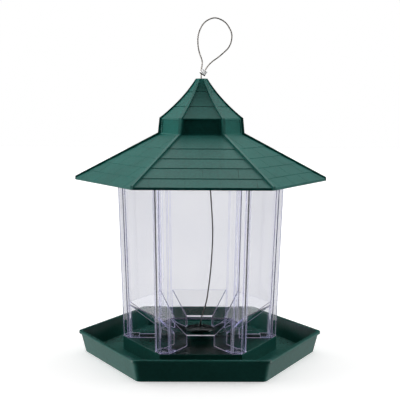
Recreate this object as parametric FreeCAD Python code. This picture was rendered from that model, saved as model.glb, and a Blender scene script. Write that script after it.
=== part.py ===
"""Hexagonal hanging seed feeder: tray, clear hopper, shingled roof and hanging wire.

Units are millimetres.  +Z is up.  The origin is the middle of the tray's underside.
The corners of every hexagon lie at 0, 60, 120 ... degrees, so the flats face +Y and -Y.
"""
import FreeCAD, Part
import math
import os

os.makedirs("parts", exist_ok=True)
Vector = FreeCAD.Vector

# ---- driving dimensions -------------------------------------------------------------------
SIDES = 6
FLAT = math.cos(math.pi / SIDES)        # apothem of a hexagon whose corner radius is 1

# tray
TRAY_BASE_CORNER = 109.4                # corner radius of the underside
TRAY_RIM_CORNER = 114.6                 # corner radius under the rim bead
TRAY_HEIGHT = 20.0
TRAY_WALL = 2.0
TRAY_CORNER_ROUND = 5.5
BEAD_OUT = 1.3                          # how far the rim bead stands out from the wall
BEAD_TALL = 2.6
DECK_CORNER = 73.0                      # raised deck that the hopper stands on
DECK_TOP = 14.5
DECK_WALL = 2.0
BOSS_RADIUS = 14.5                      # boss in the middle of the deck
BOSS_TOP = 25.6
BOSS_RING_RADIUS = 12.2
BOSS_RING_TOP = 23.8
BOSS_EYE_RADIUS = 5.2
BOSS_RECESS_RADIUS = 12.3
BOSS_RECESS_TOP = 21.9
BOSS_HOLE_RADIUS = 2.3

# hopper
HOPPER_BOTTOM = 14.9
HOPPER_TOP = 183.6                      # just under the slope of the roof's inside
HOPPER_WALL = 1.2
HOPPER_FOOT_CORNER = 72.6               # corner radius at the bottom
HOPPER_TAPER = 0.0358                   # corner radius gained per millimetre of height
POST_FACE = 8.8                         # width of a corner post's face, each side of the corner
PANEL_RECESS = 2.2                      # how far the panels lie behind the corner posts
LEG_HALF = 7.6                          # half the width of a hollow leg
CHUTE_TOP = 46.3                        # where a panel turns inwards above its seed port
BAR_BOTTOM = 24.4                       # lower edge of the sloping panel
BAR_APOTHEM = 36.4
FOOT_PLATE_LENGTH = 15.0
PEG_RADIUS = 1.9                        # peg under each foot plate, in a socket in the deck
PEG_LENGTH = 2.4
PEG_FROM_CENTRE = 65.5
PEG_CLEARANCE = 0.35

# roof
EAVE_CORNER = 117.5
EAVE_BOTTOM = 164.2
EAVE_TOP = 165.9
DRUM_FOOT_CORNER = 38.8
DRUM_FOOT = 207.2
DRUM_HEAD_CORNER = 37.4
DRUM_HEAD = 222.1
CAP_CORNER = 4.85
CAP_TOP = 258.5
BELL_STRAIGHT = 0.65                    # straight share of the bell's hollow curve
ROOF_WALL = 2.1
COURSE_CORNERS = [104.8, 90.0, 75.9, 60.8]
COURSE_STEP = 0.5                       # height of the riser at the foot of each course
BELL_COURSES = [232.9, 246.5]
BELL_NOTCH_TALL = 0.9                   # notch under each course of the bell
BELL_NOTCH_DEEP = 0.7
SHINGLE_WIDTH = 30.0
JOINT_WIDTH = 0.35
JOINT_DEPTH = 0.22
HIP_WIDTH = 2.6
HIP_RISE = 1.3                          # how far the hips stand up from the roof's corners
HIP_OUT = 1.6                           # how far they stand out from the drum and the bell
HIP_OUT_AT_CAP = 0.6
LOUVRE_SLATS = 6
LOUVRE_DEPTH = 1.1
LOUVRE_MARGIN = 1.4
SKIRT_CORNER = 72.8                     # locating skirt that drops inside the hopper's mouth
SKIRT_WALL = 1.8
SKIRT_BOTTOM = 176.5
CAP_HOLE_RADIUS = 3.3

# wire, crimps and washer
WIRE_RADIUS = 0.65
WASHER_RADIUS = 7.5
WASHER_HOLE_RADIUS = 1.0
WASHER_THICK = 1.0
STOP_RADIUS = 2.6
STOP_LENGTH = 8.0
GAP = 0.3                               # air between pieces that can move apart
CRIMP_LEAN = 33.0                       # degrees the upper crimp leans towards +X
CRIMP_WIDTH = 5.8
CRIMP_THICK = 3.2
CRIMP_LENGTH = 4.8
CRIMP_CENTRE = Vector(1.68, 0, 264.1)

# middle line of the wire, from the lower crimp up through the roof, and of the hanging loop
STRAND_ROUTE = [(0, 11.6), (0, 29), (6.0, 47), (9.8, 76), (11.9, 113), (9.3, 152),
                (4.6, 200), (0, 246), (-0.4, 260.0), (-0.5, 263.0)]
LOOP_ROUTE = [(-0.5, 263.0), (-0.6, 266.0), (0.9, 273.5), (-3.6, 286.0), (-3.8, 299.0),
              (1.5, 310.0), (11.5, 315.0), (22.0, 310.5), (28.4, 299.5), (26.2, 288.0),
              (17.0, 279.4), (8.0, 273.0), (3.3, 266.8), (2.9, 262.2)]


# ---- shared shapes ------------------------------------------------------------------------
def hexagon(corner_radius, z):
    """Closed hexagonal wire in the plane at height z."""
    points = []
    for side in range(SIDES):
        turn = 2 * math.pi * side / SIDES
        points.append(Vector(corner_radius * math.cos(turn), corner_radius * math.sin(turn), z))
    return Part.makePolygon(points + [points[0]])


def stack(profile):
    """Solid whose level sections are hexagons, from (corner radius, height) pairs."""
    return Part.makeLoft([hexagon(radius, z) for radius, z in profile], True, True)


def box(low, high):
    size = [high[i] - low[i] for i in range(3)]
    return Part.makeBox(size[0], size[1], size[2], Vector(*low))


def turned(shape, degrees):
    """Copy of a shape turned about the Z axis."""
    copy = shape.copy()
    copy.rotate(Vector(0, 0, 0), Vector(0, 0, 1), degrees)
    return copy


def around(shape, first=0.0):
    """Six copies of a shape, one for each side or corner of the hexagon."""
    return [turned(shape, first + 360.0 * side / SIDES) for side in range(SIDES)]


def disc(radius, low, high):
    return Part.makeCylinder(radius, high - low, Vector(0, 0, low))


def along(low_to_high, start, end):
    """Value that runs from start to end as low_to_high runs from 0 to 1."""
    return start + (end - start) * low_to_high


def solid_of(shape):
    """The one solid of a boolean result, with split faces merged."""
    return shape.removeSplitter().Solids[0]


# ---- tray ---------------------------------------------------------------------------------
def rounded_stack(profile, rounding):
    """Stack whose upright corner edges are rounded."""
    body = stack(profile)
    corners = [edge for edge in body.Edges if abs(edge.tangentAt(edge.FirstParameter).z) > 0.5]
    return body.makeFillet(rounding, corners)


def make_tray():
    inset = TRAY_WALL / FLAT
    body = rounded_stack([(TRAY_BASE_CORNER, 0), (TRAY_RIM_CORNER, TRAY_HEIGHT)], TRAY_CORNER_ROUND)
    bead_corner = TRAY_RIM_CORNER + BEAD_OUT / FLAT
    bead_low = TRAY_HEIGHT - BEAD_TALL
    bead = rounded_stack([(bead_corner, bead_low), (bead_corner, TRAY_HEIGHT)], TRAY_CORNER_ROUND + BEAD_OUT)
    bead_edges = [edge for edge in bead.Edges if abs(edge.BoundBox.ZLength) < 0.01]
    bead = bead.makeFillet(0.6, bead_edges)
    trough_corner = along(TRAY_WALL / TRAY_HEIGHT, TRAY_BASE_CORNER, TRAY_RIM_CORNER) - inset
    trough = rounded_stack(
        [(trough_corner, TRAY_WALL), (TRAY_RIM_CORNER - inset, TRAY_HEIGHT + 0.1)],
        TRAY_CORNER_ROUND - TRAY_WALL)
    shell = body.fuse(bead).cut(trough)

    deck = stack([(DECK_CORNER, 1), (DECK_CORNER, DECK_TOP)])
    deck_edges = [edge for edge in deck.Edges if edge.BoundBox.ZMin > DECK_TOP - 0.01]
    deck = deck.makeFillet(0.7, deck_edges)
    boss = disc(BOSS_RADIUS, 1, BOSS_RING_TOP - 1.0)
    boss = boss.fuse(Part.makeCone(BOSS_RADIUS, BOSS_RING_RADIUS, 1.0, Vector(0, 0, BOSS_RING_TOP - 1.0)))
    dome_rise = BOSS_TOP - BOSS_RING_TOP
    dome_radius = (BOSS_RING_RADIUS ** 2 + dome_rise ** 2) / (2 * dome_rise)
    dome = Part.makeSphere(dome_radius, Vector(0, 0, BOSS_TOP - dome_radius))
    dome = dome.common(disc(BOSS_RING_RADIUS, BOSS_RING_TOP - 0.5, BOSS_TOP + 1))
    boss = boss.fuse(dome)
    boss = boss.fuse(disc(BOSS_EYE_RADIUS, BOSS_RING_TOP, BOSS_TOP + 0.25))
    boss_web = disc(BOSS_RADIUS, DECK_TOP - DECK_WALL, DECK_TOP)

    hollow = stack([(DECK_CORNER - DECK_WALL / FLAT, -1), (DECK_CORNER - DECK_WALL / FLAT, DECK_TOP - DECK_WALL)])
    recess = disc(BOSS_RECESS_RADIUS, -1, BOSS_RECESS_TOP)
    tray = shell.fuse(deck).fuse(boss).fuse(boss_web).cut(hollow).cut(recess)
    tray = tray.cut(disc(BOSS_HOLE_RADIUS, 0, BOSS_TOP + 5))
    socket = disc(PEG_RADIUS + PEG_CLEARANCE, 0, DECK_TOP + 1)
    socket.translate(Vector(PEG_FROM_CENTRE, 0, 0))
    for hole in around(socket):
        tray = tray.cut(hole)
    return solid_of(tray)


# ---- hopper -------------------------------------------------------------------------------
def hopper_corner(z):
    return HOPPER_FOOT_CORNER + HOPPER_TAPER * (z - HOPPER_BOTTOM)


def panel_recess(inset, low, high):
    """Wedge cut away in front of the panel that faces +X, between its two corner posts."""
    sections = []
    for z in (low, high):
        corner = hopper_corner(z)
        half = corner / 2 - POST_FACE + inset
        back = corner * FLAT - PANEL_RECESS - inset
        front = corner * FLAT + 5
        points = [Vector(back, -half, z), Vector(front, -half, z), Vector(front, half, z), Vector(back, half, z)]
        sections.append(Part.makePolygon(points + [points[0]]))
    return Part.makeLoft(sections, True, True)


def seed_port(inset, low):
    """Wedge cut away under the sloping panel that faces +X, between its two legs."""
    tip = (LEG_HALF - inset) / math.sin(math.pi / SIDES)
    reach = hopper_corner(CHUTE_TOP) * FLAT + 6
    half = (reach - tip) * math.tan(math.pi / SIDES)
    plan = Part.makePolygon([Vector(tip, 0, low), Vector(reach, -half, low), Vector(reach, half, low),
                             Vector(tip, 0, low)])
    wedge = Part.Face(plan).extrude(Vector(0, 0, CHUTE_TOP + 20 - low))

    panel_apothem = hopper_corner(CHUTE_TOP) * FLAT - PANEL_RECESS
    run = panel_apothem - BAR_APOTHEM
    rise = CHUTE_TOP - BAR_BOTTOM
    slope = math.hypot(run, rise)
    lift = inset * slope / run                       # vertical shift of the offset slope
    top = CHUTE_TOP + lift + rise / run * (reach - panel_apothem)
    side = [Vector(BAR_APOTHEM, -80, low), Vector(reach, -80, low), Vector(reach, -80, top),
            Vector(BAR_APOTHEM, -80, BAR_BOTTOM + lift)]
    below = Part.Face(Part.makePolygon(side + [side[0]])).extrude(Vector(0, 160, 0))
    return wedge.common(below)


def hopper_space(inset, low, high):
    """Outer form of the hopper, or with an inset of one wall, the space inside it."""
    shrink = inset / FLAT
    body = stack([(hopper_corner(low) - shrink, low), (hopper_corner(high) - shrink, high)])
    for recess in around(panel_recess(inset, low - 1, high + 1), 30):
        body = body.cut(recess)
    for port in around(seed_port(inset, low - 1), 30):
        body = body.cut(port)
    return body


def make_hopper():
    outside = hopper_space(0, HOPPER_BOTTOM, HOPPER_TOP)
    inside = hopper_space(HOPPER_WALL, HOPPER_BOTTOM - 2, HOPPER_TOP + 2)
    shell = outside.cut(inside)
    plate_zone = box((HOPPER_FOOT_CORNER - FOOT_PLATE_LENGTH, -LEG_HALF, HOPPER_BOTTOM),
                     (HOPPER_FOOT_CORNER + 5, LEG_HALF, HOPPER_BOTTOM + HOPPER_WALL))
    peg = disc(PEG_RADIUS, HOPPER_BOTTOM - PEG_LENGTH, HOPPER_BOTTOM + 1)
    peg.translate(Vector(PEG_FROM_CENTRE, 0, 0))
    for corner in range(SIDES):
        angle = 360.0 * corner / SIDES
        shell = shell.fuse(outside.common(turned(plate_zone, angle)))
        shell = shell.fuse(turned(peg, angle))
    return solid_of(shell)


# ---- roof ---------------------------------------------------------------------------------
def roof_height(corner):
    """Height of the plain roof slope at a corner radius."""
    return along((EAVE_CORNER - corner) / (EAVE_CORNER - DRUM_FOOT_CORNER), EAVE_TOP, DRUM_FOOT)


def roof_lean():
    """Angle of the roof's flat sides from the level."""
    return math.atan2(DRUM_FOOT - EAVE_TOP, (EAVE_CORNER - DRUM_FOOT_CORNER) * FLAT)


def bell_corner(z):
    """Corner radius of the bell, which widens faster towards the drum."""
    down = (CAP_TOP - z) / (CAP_TOP - DRUM_HEAD)
    return along(BELL_STRAIGHT * down + (1 - BELL_STRAIGHT) * down ** 2, CAP_CORNER, DRUM_HEAD_CORNER)


def bell_heights():
    """Heights of the sections that follow the bell's hollow curve."""
    return [DRUM_HEAD + (CAP_TOP - DRUM_HEAD) * step / 12.0 for step in range(13)]


def shingled_profile():
    """Eave, courses with upright risers, drum and bell."""
    profile = [(EAVE_CORNER, EAVE_BOTTOM), (EAVE_CORNER, EAVE_TOP + COURSE_STEP)]
    for corner in COURSE_CORNERS:
        profile.append((corner, roof_height(corner)))
        profile.append((corner, roof_height(corner) + COURSE_STEP))
    profile.append((DRUM_FOOT_CORNER, DRUM_FOOT))
    profile.append((DRUM_HEAD_CORNER, DRUM_HEAD))
    for z in bell_heights()[1:]:
        profile.append((bell_corner(z), z))
    for foot in BELL_COURSES:
        below = [point for point in profile if point[1] < foot - BELL_NOTCH_TALL]
        above = [point for point in profile if point[1] > foot + 0.2]
        notch = [(bell_corner(foot - BELL_NOTCH_TALL), foot - BELL_NOTCH_TALL),
                 (bell_corner(foot) - BELL_NOTCH_DEEP, foot - 0.1), (bell_corner(foot), foot)]
        profile = below + notch + above
    return profile


def hip_profile():
    """Outer edge of the raised hips, a little outside the courses."""
    profile = [(EAVE_CORNER, EAVE_BOTTOM + 0.2), (EAVE_CORNER, EAVE_TOP + COURSE_STEP + HIP_RISE),
               (DRUM_FOOT_CORNER + HIP_OUT, DRUM_FOOT + HIP_RISE),
               (DRUM_HEAD_CORNER + HIP_OUT, DRUM_HEAD + 0.2)]
    for z in bell_heights()[1:]:
        out = along((z - DRUM_HEAD) / (CAP_TOP - DRUM_HEAD), HIP_OUT, HIP_OUT_AT_CAP)
        profile.append((bell_corner(z) + out, z))
    return profile


def hip_rib():
    """Flat-topped rib over the corner that lies on +X, reaching in to the axis."""
    points = [Vector(radius, -HIP_WIDTH / 2, z) for radius, z in hip_profile()]
    points = [Vector(0, -HIP_WIDTH / 2, EAVE_BOTTOM + 0.2)] + points + [Vector(0, -HIP_WIDTH / 2, CAP_TOP)]
    return Part.Face(Part.makePolygon(points + [points[0]])).extrude(Vector(0, HIP_WIDTH, 0))


def cavity_profile():
    shrink = ROOF_WALL / FLAT
    slope_drop = ROOF_WALL / math.cos(roof_lean())
    eave = EAVE_CORNER - shrink
    drum = DRUM_FOOT_CORNER - shrink - 0.9
    profile = [(eave, EAVE_BOTTOM - 1), (eave, roof_height(eave) - slope_drop),
               (drum, roof_height(drum) - slope_drop),
               (DRUM_HEAD_CORNER - shrink - 0.9, DRUM_HEAD - 1.0)]
    for z in bell_heights()[1:]:
        if z < CAP_TOP - ROOF_WALL - 1:
            profile.append((bell_corner(z) - shrink * 1.25, z - 1.0))
    return profile


def louvre_panel():
    """Sawtooth cut in the drum face that faces +X: each slat leans out at its foot."""
    low = DRUM_FOOT + 0.9
    high = DRUM_HEAD - LOUVRE_MARGIN
    pitch = (high - low) / LOUVRE_SLATS
    half = DRUM_HEAD_CORNER / 2 - HIP_WIDTH - 0.4
    front = DRUM_FOOT_CORNER * FLAT + 3
    points = [Vector(front, -half, low)]
    for slat in range(LOUVRE_SLATS):
        foot = low + slat * pitch
        face = along((foot - DRUM_FOOT) / (DRUM_HEAD - DRUM_FOOT), DRUM_FOOT_CORNER, DRUM_HEAD_CORNER) * FLAT
        points.append(Vector(face - 0.25, -half, foot))
        points.append(Vector(face - LOUVRE_DEPTH, -half, foot + pitch))
    points.append(Vector(front, -half, high))
    return Part.Face(Part.makePolygon(points + [points[0]])).extrude(Vector(0, 2 * half, 0))


def shingle_joints():
    """Upright saw cuts between the shingles of the face that faces +X, staggered by course."""
    edges = [EAVE_CORNER] + COURSE_CORNERS + [DRUM_FOOT_CORNER]
    lean = roof_lean()
    cuts = []
    for course in range(len(edges) - 1):
        foot, head = edges[course], edges[course + 1]
        length = (foot - head) * FLAT / math.cos(lean)
        half_face = head / 2 - 3
        offset = 0.0 if course % 2 else SHINGLE_WIDTH / 2
        places = [offset + SHINGLE_WIDTH * n for n in range(-3, 3)]
        for place in places:
            if abs(place) > half_face:
                continue
            cut = box((0, -JOINT_WIDTH / 2, -JOINT_DEPTH), (length, JOINT_WIDTH / 2, 3))
            cut.rotate(Vector(0, 0, 0), Vector(0, 1, 0), math.degrees(lean))
            cut.translate(Vector(head * FLAT, place, roof_height(head)))
            cuts.append(cut)
    return cuts


def make_roof():
    roof = stack(shingled_profile())
    for rib in around(hip_rib()):
        roof = roof.fuse(rib)
    for face in range(SIDES):
        angle = 30 + 60 * face
        roof = roof.cut(Part.makeCompound([turned(cut, angle) for cut in shingle_joints()]))
        roof = roof.cut(turned(louvre_panel(), angle))
    roof = roof.cut(stack(cavity_profile()))
    skirt = stack([(SKIRT_CORNER, SKIRT_BOTTOM), (SKIRT_CORNER, roof_height(SKIRT_CORNER) - 0.5)])
    skirt_bore = SKIRT_CORNER - SKIRT_WALL / FLAT
    skirt = skirt.cut(stack([(skirt_bore, SKIRT_BOTTOM - 1), (skirt_bore, DRUM_FOOT)]))
    roof = roof.fuse(skirt)
    roof = roof.cut(disc(CAP_HOLE_RADIUS, CAP_TOP - 20, CAP_TOP + 5))
    return solid_of(roof)


# ---- wire, crimps and washer --------------------------------------------------------------
def wire_path(route):
    """Straight runs joined by tangent arcs through the corners of a route in the XZ plane."""
    points = [Vector(x, 0, z) for x, z in route]
    edges = []
    start = points[0]
    for before, here, after in zip(points, points[1:], points[2:]):
        back = (before - here).normalize()
        ahead = (after - here).normalize()
        half_turn = (math.pi - back.getAngle(ahead)) / 2
        reach = 0.45 * min(here.distanceToPoint(before), here.distanceToPoint(after))
        radius = reach / math.tan(half_turn)
        print("bend radius %.1f" % radius)
        arc_start = here + back * reach
        arc_end = here + ahead * reach
        middle = (back + ahead).normalize()
        arc_middle = here + middle * (radius / math.cos(half_turn) - radius)
        edges.append(Part.LineSegment(start, arc_start).toShape())
        edges.append(Part.Arc(arc_start, arc_middle, arc_end).toShape())
        start = arc_end
    edges.append(Part.LineSegment(start, points[-1]).toShape())
    return Part.Wire(edges)


def tube(route, radius):
    path = wire_path(route)
    first = Vector(route[1][0] - route[0][0], 0, route[1][1] - route[0][1])
    ring = Part.Wire(Part.makeCircle(radius, Vector(route[0][0], 0, route[0][1]), first))
    body = path.makePipeShell([ring], True, False)
    print("tube volume %.1f, section times length %.1f" % (body.Volume, math.pi * radius ** 2 * path.Length))
    return body


def crimp_blank():
    """Flattened oval sleeve, leaning towards +X."""
    half = (CRIMP_WIDTH - CRIMP_THICK) / 2
    side = CRIMP_THICK / 2
    outline = Part.Wire([
        Part.LineSegment(Vector(-half, -side, 0), Vector(half, -side, 0)).toShape(),
        Part.Arc(Vector(half, -side, 0), Vector(half + side, 0, 0), Vector(half, side, 0)).toShape(),
        Part.LineSegment(Vector(half, side, 0), Vector(-half, side, 0)).toShape(),
        Part.Arc(Vector(-half, side, 0), Vector(-half - side, 0, 0), Vector(-half, -side, 0)).toShape()])
    sleeve = Part.Face(outline).extrude(Vector(0, 0, CRIMP_LENGTH))
    sleeve = sleeve.makeFillet(0.45, [edge for edge in sleeve.Edges if edge.BoundBox.ZLength < 0.01])
    sleeve.translate(Vector(0, 0, -CRIMP_LENGTH / 2))
    sleeve.rotate(Vector(0, 0, 0), Vector(0, 1, 0), CRIMP_LEAN)
    sleeve.translate(CRIMP_CENTRE)
    return sleeve


def make_stop_washer():
    top = BOSS_RECESS_TOP - GAP
    washer = disc(WASHER_RADIUS, top - WASHER_THICK, top)
    return washer.cut(disc(WASHER_HOLE_RADIUS, top - 2 * WASHER_THICK, top + 1))


def make_stop_crimp(strand):
    top = BOSS_RECESS_TOP - GAP - WASHER_THICK - GAP
    crimp = disc(STOP_RADIUS, top - STOP_LENGTH, top)
    crimp = crimp.makeFillet(0.5, [edge for edge in crimp.Edges if edge.BoundBox.ZLength < 0.01])
    return crimp.cut(strand)


strand = tube(STRAND_ROUTE, WIRE_RADIUS)
loop = tube(LOOP_ROUTE, WIRE_RADIUS)
nodes = {
    "tray": make_tray(),
    "hopper": make_hopper(),
    "roof": make_roof(),
    "hanger_wire": strand,
    "hanging_loop": loop,
    "loop_crimp": crimp_blank().cut(strand).cut(loop),
    "stop_crimp": make_stop_crimp(strand),
    "stop_washer": make_stop_washer(),
}
for name, shape in nodes.items():
    box_of = shape.BoundBox
    print("%s valid=%s solids=%d volume=%.0f x %.1f..%.1f z %.1f..%.1f" % (
        name, shape.isValid(), len(shape.Solids), shape.Volume,
        box_of.XMin, box_of.XMax, box_of.ZMin, box_of.ZMax))
    shape.exportStep("parts/%s.step" % name)
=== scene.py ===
import math
import bmesh
import bpy
from mathutils import Matrix, Vector


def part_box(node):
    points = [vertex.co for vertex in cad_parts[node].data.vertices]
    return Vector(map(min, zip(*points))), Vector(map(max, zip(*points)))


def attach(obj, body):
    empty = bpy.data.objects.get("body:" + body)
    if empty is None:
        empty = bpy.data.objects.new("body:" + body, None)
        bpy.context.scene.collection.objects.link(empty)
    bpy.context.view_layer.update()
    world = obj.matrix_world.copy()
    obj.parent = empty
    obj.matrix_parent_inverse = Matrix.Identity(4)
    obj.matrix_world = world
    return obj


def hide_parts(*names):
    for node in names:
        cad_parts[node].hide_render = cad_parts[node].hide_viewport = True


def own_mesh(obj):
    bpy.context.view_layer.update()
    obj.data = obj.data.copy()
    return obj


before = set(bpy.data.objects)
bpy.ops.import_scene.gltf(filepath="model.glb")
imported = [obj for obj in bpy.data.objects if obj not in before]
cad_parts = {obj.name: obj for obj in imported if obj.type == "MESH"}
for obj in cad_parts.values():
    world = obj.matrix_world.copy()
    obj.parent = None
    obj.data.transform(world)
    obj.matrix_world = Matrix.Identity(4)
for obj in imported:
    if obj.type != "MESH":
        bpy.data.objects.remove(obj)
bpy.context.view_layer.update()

MM = 0.001

# ---- camera ---------------------------------------------------------------------------------
CAMERA_PLACE = Vector((-0.0133, -0.8168, 0.2331))
CAMERA_PITCH = math.radians(-6.13)
CAMERA_YAW = math.radians(-0.88)
CAMERA_ROLL = math.radians(0.38)
CAMERA_LENS = 78.63
SENSOR_WIDTH = 36.0

# ---- light: brightness of the surround by direction ---------------------------------------------
FRONT_EDGE = (-0.67, 0.264)     # no light comes from the camera's side
LEFT_LIGHT = 2.55
RIGHT_LIGHT = 1.5
FILL_LIGHT = (1.9, 2.7)         # high behind, left and right, growing from the middle towards both sides
FILL_EDGE = (0.4, 0.55)
LOW_FILL_LIGHT = (0.7, 0.6)     # below the horizon, left and right
LOW_FILL_EDGE = (-0.08, -0.25)
SIDE_BOX_EDGE = 0.9             # softboxes straight to the left and right, a little brighter low down
SIDE_BOX_LIGHT = 6.2
SIDE_BOX_HEIGHT = (-0.35, 0.06)
SIDE_BOX_UPPER = 0.36
TOP_EDGE = (0.545, 0.615)
TOP_FRONT_EDGE = (-0.26, -0.16)
TOP_LIGHT = 1.64
AMBIENT_LIGHT = 0.03
FLOOR_GLOW = 0.5
SNOOT_PLACE = Vector((-0.1, -0.62, 0.5))
SNOOT_POWER = 12
SNOOT_SPREAD = math.radians(1.5)
SNOOT_ABOVE_CRIMP = Vector((0, 0, 0.001))
PAINTED_DIM_THROUGH_PLASTIC = 0.63          # painted shade: the pale surround is drawn at this share of its brightness where seen through the clear hopper, and the floor is dimmed to match

# ---- wire rope, in metres; routes run in the XZ plane and are in millimetres ---------------------
ROPE_RADIUS = 0.00065
ROPE_LAY = 0.0085
ROPE_CORNERS = 36
STRANDS = 6
ROPE_STEP = 0.35 * MM
CORNER_SHARE = 0.45             # a corner's rounding, as a share of the shorter run beside it
CORNER_STEPS = 40
STRAND_ROUTE = [(0, 11.6), (0, 29), (6.0, 47), (9.8, 76), (11.9, 113), (9.3, 152),
                (4.6, 200), (0, 246), (-0.4, 260.0), (-0.5, 263.0)]
LOOP_ROUTE = [(-0.5, 263.0), (-0.6, 266.0), (0.9, 273.5), (-3.6, 286.0), (-3.8, 299.0),
              (1.5, 310.0), (11.5, 315.0), (22.0, 310.5), (28.4, 299.5), (26.2, 288.0),
              (17.0, 279.4), (8.0, 273.0), (3.3, 266.8), (2.9, 262.2)]
SLEEVE_LEVELS = 40
SLEEVE_CORNERS = 48
CRIMP_LEAN = 33.0
CRIMP_WIDTH = 0.0058
CRIMP_THICK = 0.0032
CRIMP_LENGTH = 0.0048
SHADED_END_BAND = 0.0009                # painted shade: a near-black band on the lower end of the crimp stands in for its shaded end face
CRIMP_CENTRE = Vector((0.00168, 0, 0.2641))
SLEEVE_END_ROUND = 0.4 * MM
SLEEVE_CAP_INSET = 0.45 * MM
SLEEVE_CAP_HOLLOW = 0.3 * MM

# ---- clear plastic ----------------------------------------------------------------------------
EDGE_FROST_WIDTH = 0.0006
EDGE_FROST = 0.7
EDGE_PAINTED_GLOW = 0.55         # painted glow on the edges, emitted by the edges themselves in place of light led inside the plastic
EDGE_TURN = (0.995, 0.9)        # how alike the face and its rounded edge are, from flat to fully frosted
WAVE_SCALE = 22
WAVE_DEPTH = 0.0004
EDGE_TINT_SCALE = 60
TINT_IN_DEPTH = (0.50, 0.50, 0.92, 1)
TINT_DENSITY = 36

# ---- green plastic and metal -----------------------------------------------------------------
MOTTLE_SCALE = 28
SPECKLE_SCALE = 420
GRAIN_DEPTH = 0.0002
GREEN_SPECULAR = 0.28
TARNISH_SCALE = 260
NOISE_MIDDLE = (0.3, 0.7)       # most of a noise's values lie between these

# ---- colours, linear ------------------------------------------------------------------------
ROOF_GREEN = (0.010, 0.150, 0.125)
TRAY_GREEN = (0.020, 0.130, 0.108)


def make_camera():
    data = bpy.data.cameras.new("camera")
    data.lens = CAMERA_LENS
    data.sensor_width = SENSOR_WIDTH
    camera = bpy.data.objects.new("camera", data)
    level = Matrix.Rotation(math.pi / 2 + CAMERA_PITCH, 4, "X")
    camera.matrix_world = (
        Matrix.Translation(CAMERA_PLACE)
        @ Matrix.Rotation(CAMERA_YAW, 4, "Z") @ level @ Matrix.Rotation(CAMERA_ROLL, 4, "Z"))
    bpy.context.scene.collection.objects.link(camera)
    bpy.context.scene.camera = camera


def new_material(name):
    material = bpy.data.materials.new(name)
    material.use_nodes = True
    tree = material.node_tree
    return material, tree, tree.nodes["Principled BSDF"]


def soft_noise(tree, place, scale, detail):
    """Noise over the object's own coordinates."""
    noise = tree.nodes.new("ShaderNodeTexNoise")
    noise.inputs["Scale"].default_value = scale
    noise.inputs["Detail"].default_value = detail
    tree.links.new(place.outputs["Object"], noise.inputs["Vector"])
    return noise.outputs["Fac"]


def noise_ramp(tree, place, scale, low, high, detail=4):
    """Colour that drifts between two colours with a soft noise, and the noise itself."""
    noise = soft_noise(tree, place, scale, detail)
    ramp = tree.nodes.new("ShaderNodeValToRGB")
    for element, position, colour in zip(ramp.color_ramp.elements, NOISE_MIDDLE, (low, high)):
        element.position = position
        element.color = tuple(colour) + (1,)
    tree.links.new(noise, ramp.inputs["Fac"])
    return ramp.outputs["Color"], noise


def map_range(tree, source, start, end, low, high):
    """Number that goes from low to high as the source goes from start to end."""
    node = tree.nodes.new("ShaderNodeMapRange")
    for name, number in zip(("From Min", "From Max", "To Min", "To Max"), (start, end, low, high)):
        node.inputs[name].default_value = number
    tree.links.new(source, node.inputs["Value"])
    return node.outputs["Result"]


def roughen(tree, shader, height, strength, depth):
    bump = tree.nodes.new("ShaderNodeBump")
    bump.inputs["Strength"].default_value = strength
    bump.inputs["Distance"].default_value = depth
    tree.links.new(height, bump.inputs["Height"])
    tree.links.new(bump.outputs["Normal"], shader.inputs["Normal"])


def plastic(name, colour, roughness, speckle_share, grain_mm, grain_strength):
    """Injection-moulded green plastic: faint mottling, moulded grain and a soft sheen."""
    material, tree, shader = new_material(name)
    place = tree.nodes.new("ShaderNodeTexCoord")
    mottled, _ = noise_ramp(
        tree, place, MOTTLE_SCALE, [0.88 * c for c in colour], [1.1 * c for c in colour], detail=5)
    speckle = soft_noise(tree, place, SPECKLE_SCALE, 2)
    dappled = tree.nodes.new("ShaderNodeVectorMath")
    dappled.operation = "SCALE"
    tree.links.new(mottled, dappled.inputs[0])
    tree.links.new(map_range(tree, speckle, *NOISE_MIDDLE, 1 - speckle_share, 1 + speckle_share),
                   dappled.inputs["Scale"])
    tree.links.new(dappled.outputs[0], shader.inputs["Base Color"])
    roughen(tree, shader, soft_noise(tree, place, 1000 / grain_mm, 2), grain_strength, GRAIN_DEPTH)
    shader.inputs["Roughness"].default_value = roughness
    shader.inputs["IOR"].default_value = 1.5
    shader.inputs["Specular IOR Level"].default_value = GREEN_SPECULAR
    return material


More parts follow.
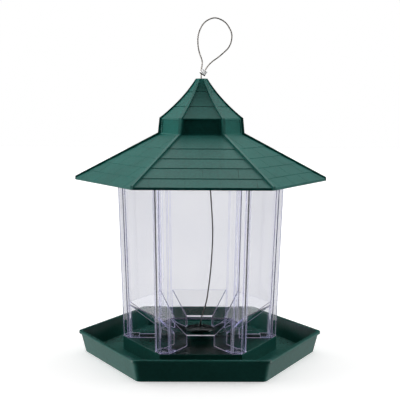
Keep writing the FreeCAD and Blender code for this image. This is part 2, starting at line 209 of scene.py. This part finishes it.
def clear_plastic():
    """Clear moulded polystyrene: faint flow waves, a blue tint in its thickness and frosted narrow edges
    with a painted glow.
    """
    material, tree, shader = new_material("clear_plastic")
    nodes, links = tree.nodes, tree.links
    place = nodes.new("ShaderNodeTexCoord")
    colour, waves = noise_ramp(tree, place, WAVE_SCALE, (0.965, 0.97, 0.985), (0.99, 0.992, 0.998))
    links.new(colour, shader.inputs["Base Color"])
    roughen(tree, shader, waves, 0.06, WAVE_DEPTH)
    shader.inputs["Roughness"].default_value = 0.0
    shader.inputs["IOR"].default_value = 1.49
    shader.inputs["Transmission Weight"].default_value = 1.0

    bevel = nodes.new("ShaderNodeBevel")
    bevel.samples = 6
    bevel.inputs["Radius"].default_value = EDGE_FROST_WIDTH
    geometry = nodes.new("ShaderNodeNewGeometry")
    alike = nodes.new("ShaderNodeVectorMath")
    alike.operation = "DOT_PRODUCT"
    links.new(bevel.outputs["Normal"], alike.inputs[0])
    links.new(geometry.outputs["Normal"], alike.inputs[1])
    edge = map_range(tree, alike.outputs["Value"], *EDGE_TURN, 0, EDGE_FROST)
    frost = nodes.new("ShaderNodeBsdfDiffuse")
    glow = nodes.new("ShaderNodeBsdfTranslucent")
    tint, _ = noise_ramp(tree, place, EDGE_TINT_SCALE, (0.50, 0.50, 0.86), (0.80, 0.80, 0.96))
    for part in (frost, glow):
        links.new(tint, part.inputs["Color"])
    both = nodes.new("ShaderNodeMixShader")
    both.inputs["Fac"].default_value = 0.5
    links.new(frost.outputs[0], both.inputs[1])
    links.new(glow.outputs[0], both.inputs[2])
    # painted glow: the frosted edges emit a tinted light of their own
    painted_edge_glow = nodes.new("ShaderNodeEmission")
    painted_edge_glow.inputs["Strength"].default_value = EDGE_PAINTED_GLOW
    links.new(tint, painted_edge_glow.inputs["Color"])
    frost_and_painted_glow = nodes.new("ShaderNodeAddShader")
    links.new(both.outputs[0], frost_and_painted_glow.inputs[0])
    links.new(painted_edge_glow.outputs[0], frost_and_painted_glow.inputs[1])
    mix = nodes.new("ShaderNodeMixShader")
    links.new(edge, mix.inputs["Fac"])
    links.new(shader.outputs[0], mix.inputs[1])
    links.new(frost_and_painted_glow.outputs[0], mix.inputs[2])
    links.new(mix.outputs[0], nodes["Material Output"].inputs["Surface"])
    absorb = nodes.new("ShaderNodeVolumeAbsorption")
    absorb.inputs["Color"].default_value = TINT_IN_DEPTH
    absorb.inputs["Density"].default_value = TINT_DENSITY
    links.new(absorb.outputs["Volume"], nodes["Material Output"].inputs["Volume"])
    return material


def metal(name, dark, light, metallic, roughness):
    """Drawn or plated metal with uneven tarnish."""
    material, tree, shader = new_material(name)
    place = tree.nodes.new("ShaderNodeTexCoord")
    colour, tarnish = noise_ramp(tree, place, TARNISH_SCALE, dark, light)
    tree.links.new(colour, shader.inputs["Base Color"])
    worn = map_range(tree, tarnish, 0, 1, roughness - 0.08, roughness + 0.1)
    tree.links.new(worn, shader.inputs["Roughness"])
    shader.inputs["Metallic"].default_value = metallic
    return material


def paint(node, material):
    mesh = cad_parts[node].data
    mesh.materials.clear()
    mesh.materials.append(material)


# ---- wire rope and crimps --------------------------------------------------------------------
def smooth_path(route, step):
    """Points at even steps along straight runs with rounded corners; the route is (x, z) in millimetres."""
    knots = [Vector((x, 0, z)) * MM for x, z in route]
    fine = [knots[0]]
    for before, here, after in zip(knots, knots[1:], knots[2:]):
        reach = CORNER_SHARE * min((here - before).length, (after - here).length)
        enter = here + (before - here).normalized() * reach
        leave = here + (after - here).normalized() * reach
        for index in range(CORNER_STEPS + 1):
            t = index / CORNER_STEPS
            fine.append((1 - t) ** 2 * enter + 2 * t * (1 - t) * here + t ** 2 * leave)
    fine.append(knots[-1])
    path = [fine[0]]
    for start, end in zip(fine, fine[1:]):
        pieces = max(1, round((end - start).length / step))
        for index in range(1, pieces + 1):
            point = start.lerp(end, index / pieces)
            if (point - path[-1]).length > 0.6 * step:
                path.append(point)
    return path


def skin(body, rings):
    """Smooth faces between neighbouring rings of points."""
    for low, high in zip(rings, rings[1:]):
        for corner in range(len(low)):
            other = (corner + 1) % len(low)
            body.faces.new((low[corner], low[other], high[other], high[corner])).smooth = True


def piece_of(name, body, material):
    """Scene object made of a finished body of faces."""
    bmesh.ops.recalc_face_normals(body, faces=body.faces)
    mesh = bpy.data.meshes.new(name)
    body.to_mesh(mesh)
    body.free()
    mesh.materials.append(material)
    piece = bpy.data.objects.new(name, mesh)
    bpy.context.scene.collection.objects.link(piece)
    return piece


def rope_section(angle):
    """Radius of a rope of six outer strands, as a share of its full radius."""
    swing = (angle * STRANDS / (2 * math.pi)) % 1 - 0.5
    strand_radius = 1 / 3
    centre = 1 - strand_radius
    turn = swing * 2 * math.pi / STRANDS
    across = centre * math.sin(turn)
    return centre * math.cos(turn) + math.sqrt(max(strand_radius ** 2 - across ** 2, 0))


def rope(name, route, material):
    """Twisted wire rope along a route in the XZ plane."""
    path = smooth_path(route, ROPE_STEP)
    body = bmesh.new()
    rings = []
    travelled = 0
    for index, point in enumerate(path):
        before = path[max(index - 1, 0)]
        after = path[min(index + 1, len(path) - 1)]
        ahead = (after - before).normalized()
        side = Vector((0, 1, 0))
        up = ahead.cross(side)
        travelled += (point - before).length
        twist = 2 * math.pi * travelled / ROPE_LAY
        ring = []
        for corner in range(ROPE_CORNERS):
            angle = 2 * math.pi * corner / ROPE_CORNERS
            radius = ROPE_RADIUS * rope_section(angle)
            ring.append(body.verts.new(
                point + radius * (math.cos(angle + twist) * side + math.sin(angle + twist) * up)))
        rings.append(ring)
    skin(body, rings)
    body.faces.new(rings[0][::-1])
    body.faces.new(rings[-1])
    return piece_of(name, body, material)


def sleeve_mesh(name, length, section, material, dents):
    """Crimped sleeve about the Z axis: section(angle) gives its outline, dents its press marks."""
    body = bmesh.new()
    rings = []
    for level in range(SLEEVE_LEVELS + 1):
        share = level / SLEEVE_LEVELS
        z = (share - 0.5) * length
        end = min(share, 1 - share) * length
        rounding = 1 - 0.16 * max(0, 1 - end / SLEEVE_END_ROUND) ** 2
        ring = []
        for corner in range(SLEEVE_CORNERS):
            angle = 2 * math.pi * corner / SLEEVE_CORNERS
            x, y = section(angle)
            pinch = 1 - dents(share, angle)
            ring.append(body.verts.new((x * rounding, y * rounding * pinch, z)))
        rings.append(ring)
    skin(body, rings)
    for ring, inward in ((rings[0][::-1], SLEEVE_CAP_HOLLOW), (rings[-1], -SLEEVE_CAP_HOLLOW)):
        cap = body.faces.new(ring)
        bmesh.ops.inset_individual(body, faces=[cap], thickness=SLEEVE_CAP_INSET)
        for corner in cap.verts:
            corner.co.z += inward
    return piece_of(name, body, material)


def oval_sleeve(name, material, end_shade_material):
    """Flat oval sleeve that holds both ends of the loop, pressed twice across its middle."""
    def section(angle):
        flat = (CRIMP_WIDTH - CRIMP_THICK) / 2
        x = math.cos(angle) * CRIMP_THICK / 2
        pushed_out = math.copysign(flat, x) * min(1, abs(x) / (0.2 * CRIMP_THICK))
        return x + pushed_out, math.sin(angle) * CRIMP_THICK / 2

    def dents(share, angle):
        press = max(0, math.cos(2 * math.pi * 2 * (share - 0.25)))
        return 0.12 * press ** 2

    piece = sleeve_mesh(name, CRIMP_LENGTH, section, material, dents)
    # painted shade: the lower end of the sleeve gets near-black metal
    piece.data.materials.append(end_shade_material)
    for face in piece.data.polygons:
        if face.center.z < SHADED_END_BAND - CRIMP_LENGTH / 2:
            face.material_index = 1
    piece.matrix_world = Matrix.Translation(CRIMP_CENTRE) @ Matrix.Rotation(math.radians(CRIMP_LEAN), 4, "Y")
    return piece


def round_sleeve(name, node, material):
    """Round sleeve under the washer, pressed from both sides along its length."""
    low, high = (Vector(v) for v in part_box(node))
    radius = (high.y - low.y) / 2

    def section(angle):
        return radius * math.cos(angle), radius * math.sin(angle)

    def dents(share, angle):
        press = max(0, math.cos(2 * math.pi * 3 * (share - 1 / 6)))
        return 0.13 * press ** 2 * abs(math.sin(angle)) ** 3

    piece = sleeve_mesh(name, high.z - low.z, section, material, dents)
    piece.matrix_world = Matrix.Translation((0, 0, (low.z + high.z) / 2))
    return piece


# ---- studio ---------------------------------------------------------------------------------
def make_sky():
    """A white surround, seen directly, that lights the object like softboxes at its sides and above it."""
    world = bpy.data.worlds.new("studio")
    world.use_nodes = True
    bpy.context.scene.world = world
    nodes, links = world.node_tree.nodes, world.node_tree.links

    def value(socket_or_number, node, index):
        if isinstance(socket_or_number, (int, float)):
            node.inputs[index].default_value = socket_or_number
        else:
            links.new(socket_or_number, node.inputs[index])

    def combine(operation, first, second):
        node = nodes.new("ShaderNodeMath")
        node.operation = operation
        value(first, node, 0)
        value(second, node, 1)
        return node.outputs[0]

    def fade(source, start, end, low, high):
        node = nodes.new("ShaderNodeMapRange")
        node.interpolation_type = "SMOOTHSTEP"
        value(source, node, 0)
        for index, number in enumerate((start, end, low, high), 1):
            node.inputs[index].default_value = number
        return node.outputs[0]

    place = nodes.new("ShaderNodeTexCoord")
    split = nodes.new("ShaderNodeSeparateXYZ")
    links.new(place.outputs["Generated"], split.inputs[0])
    across, depth, height = split.outputs
    behind = fade(depth, *FRONT_EDGE, 0, 1)
    sides = combine("MULTIPLY", behind, fade(across, -0.6, 0.6, LEFT_LIGHT, RIGHT_LIGHT))
    sideways = combine("ABSOLUTE", across, 0)
    spread = combine("MULTIPLY", behind, fade(sideways, 0, 1, 0, 1))
    high_fill = combine("MULTIPLY", fade(height, *FILL_EDGE, 0, 1), fade(across, -0.3, 0.3, *FILL_LIGHT))
    low_fill = combine("MULTIPLY", fade(height, *LOW_FILL_EDGE, 0, 1),
                       fade(across, -0.3, 0.3, *LOW_FILL_LIGHT))
    fill = combine("MULTIPLY", spread, combine("ADD", high_fill, low_fill))
    box = combine("MULTIPLY", fade(sideways, SIDE_BOX_EDGE, 1, 0, SIDE_BOX_LIGHT),
                 fade(height, *SIDE_BOX_HEIGHT, 1, SIDE_BOX_UPPER))
    ring = combine("ADD", fill, combine("MULTIPLY", sides, box))
    overhead = fade(height, *TOP_EDGE, 0, 1)
    top = combine("MULTIPLY", overhead, fade(depth, *TOP_FRONT_EDGE, 0, TOP_LIGHT))
    glow = combine("ADD", combine("MULTIPLY", ring, combine("SUBTRACT", 1, overhead)), top)
    glow = combine("ADD", glow, AMBIENT_LIGHT)

    path = nodes.new("ShaderNodeLightPath")
    bounced = combine("ADD", path.outputs["Diffuse Depth"], path.outputs["Glossy Depth"])
    straight = combine("SUBTRACT", 1, combine("MINIMUM", bounced, 1))
    through = combine("MULTIPLY", path.outputs["Is Transmission Ray"], straight)
    lit = combine("SUBTRACT", 1, combine("MAXIMUM", path.outputs["Is Camera Ray"], through))
    # painted shade: the surround seen through the hopper is drawn dimmer
    seen = combine("MAXIMUM", path.outputs["Is Camera Ray"], combine("MULTIPLY", through, PAINTED_DIM_THROUGH_PLASTIC))
    strength = combine("ADD", combine("MULTIPLY", glow, lit), seen)
    background = nodes["Background"]
    background.inputs["Color"].default_value = (1, 1, 1, 1)
    links.new(strength, background.inputs["Strength"])
    bpy.context.scene.view_settings.view_transform = "Standard"
    bpy.context.scene.cycles.caustics_refractive = False


def make_floor():
    """Pale floor that only the camera and the clear hopper see, so it doesn't shade the light from below."""
    material, tree, shader = new_material("pale_floor")
    shader.inputs["Base Color"].default_value = (0.8, 0.8, 0.8, 1)
    shader.inputs["Roughness"].default_value = 0.9
    shader.inputs["Emission Color"].default_value = (1, 1, 1, 1)
    path = tree.nodes.new("ShaderNodeLightPath")
    # painted shade: the floor glows dimmer where seen through the hopper
    dim = map_range(tree, path.outputs["Is Transmission Ray"],
                    0, 1, FLOOR_GLOW, FLOOR_GLOW - (1 - PAINTED_DIM_THROUGH_PLASTIC))
    tree.links.new(dim, shader.inputs["Emission Strength"])
    mesh = bpy.data.meshes.new("floor")
    reach = 4
    mesh.from_pydata([(-reach, -reach, 0), (reach, -reach, 0), (reach, reach, 0), (-reach, reach, 0)],
                     [], [(0, 1, 2, 3)])
    mesh.materials.append(material)
    floor = bpy.data.objects.new("floor", mesh)
    bpy.context.scene.collection.objects.link(floor)
    floor.visible_shadow = False
    floor.visible_diffuse = False
    floor.visible_glossy = False


def make_snoot():
    """Narrow spotlight on the bright crimp over the roof."""
    data = bpy.data.lights.new("snoot", "SPOT")
    data.energy = SNOOT_POWER
    data.spot_size = SNOOT_SPREAD
    data.spot_blend = 0.5
    data.shadow_soft_size = 0.01
    lamp = bpy.data.objects.new("snoot", data)
    lamp.location = SNOOT_PLACE
    aim = CRIMP_CENTRE + SNOOT_ABOVE_CRIMP - SNOOT_PLACE
    lamp.rotation_euler = aim.to_track_quat("-Z", "Y").to_euler()
    bpy.context.scene.collection.objects.link(lamp)


make_camera()
make_sky()
make_snoot()
make_floor()
paint("roof", plastic("roof_plastic", ROOF_GREEN, 0.42, 0.12, 0.5, 0.25))
paint("tray", plastic("tray_plastic", TRAY_GREEN, 0.24, 0.08, 0.9, 0.08))
paint("hopper", clear_plastic())
wire_metal = metal("steel_wire", (0.58, 0.53, 0.49), (0.72, 0.67, 0.63), 0.15, 0.55)
crimp_metal = metal("crimp_metal", (0.86, 0.86, 0.87), (0.95, 0.95, 0.95), 0.35, 0.45)
paint("stop_washer", metal("washer_metal", (0.6, 0.6, 0.61), (0.75, 0.75, 0.76), 0.9, 0.35))

strand = rope("wire_strand", STRAND_ROUTE, wire_metal)
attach(strand, "hanger")
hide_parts("hanger_wire")

loop = rope("wire_loop", LOOP_ROUTE, wire_metal)
# painted shade: near-black metal for the crimp's shaded lower end
end_shade_metal = metal("painted_shade_end", (0.02, 0.018, 0.018), (0.05, 0.045, 0.045), 0.5, 0.6)
upper_crimp = oval_sleeve("loop_sleeve", crimp_metal, end_shade_metal)
# the roof's cap slides over the loop and its crimp; both take their own meshes and join the hanger in place
# of the CAD pieces
for piece, node, slot in ((loop, "hanging_loop", "steel_wire"), (upper_crimp, "loop_crimp", "crimp_metal")):
    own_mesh(piece)
    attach(piece, "hanger")
    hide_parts(node)

lower_crimp = round_sleeve("stop_sleeve", "stop_crimp", crimp_metal)
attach(lower_crimp, "hanger")
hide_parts("stop_crimp")
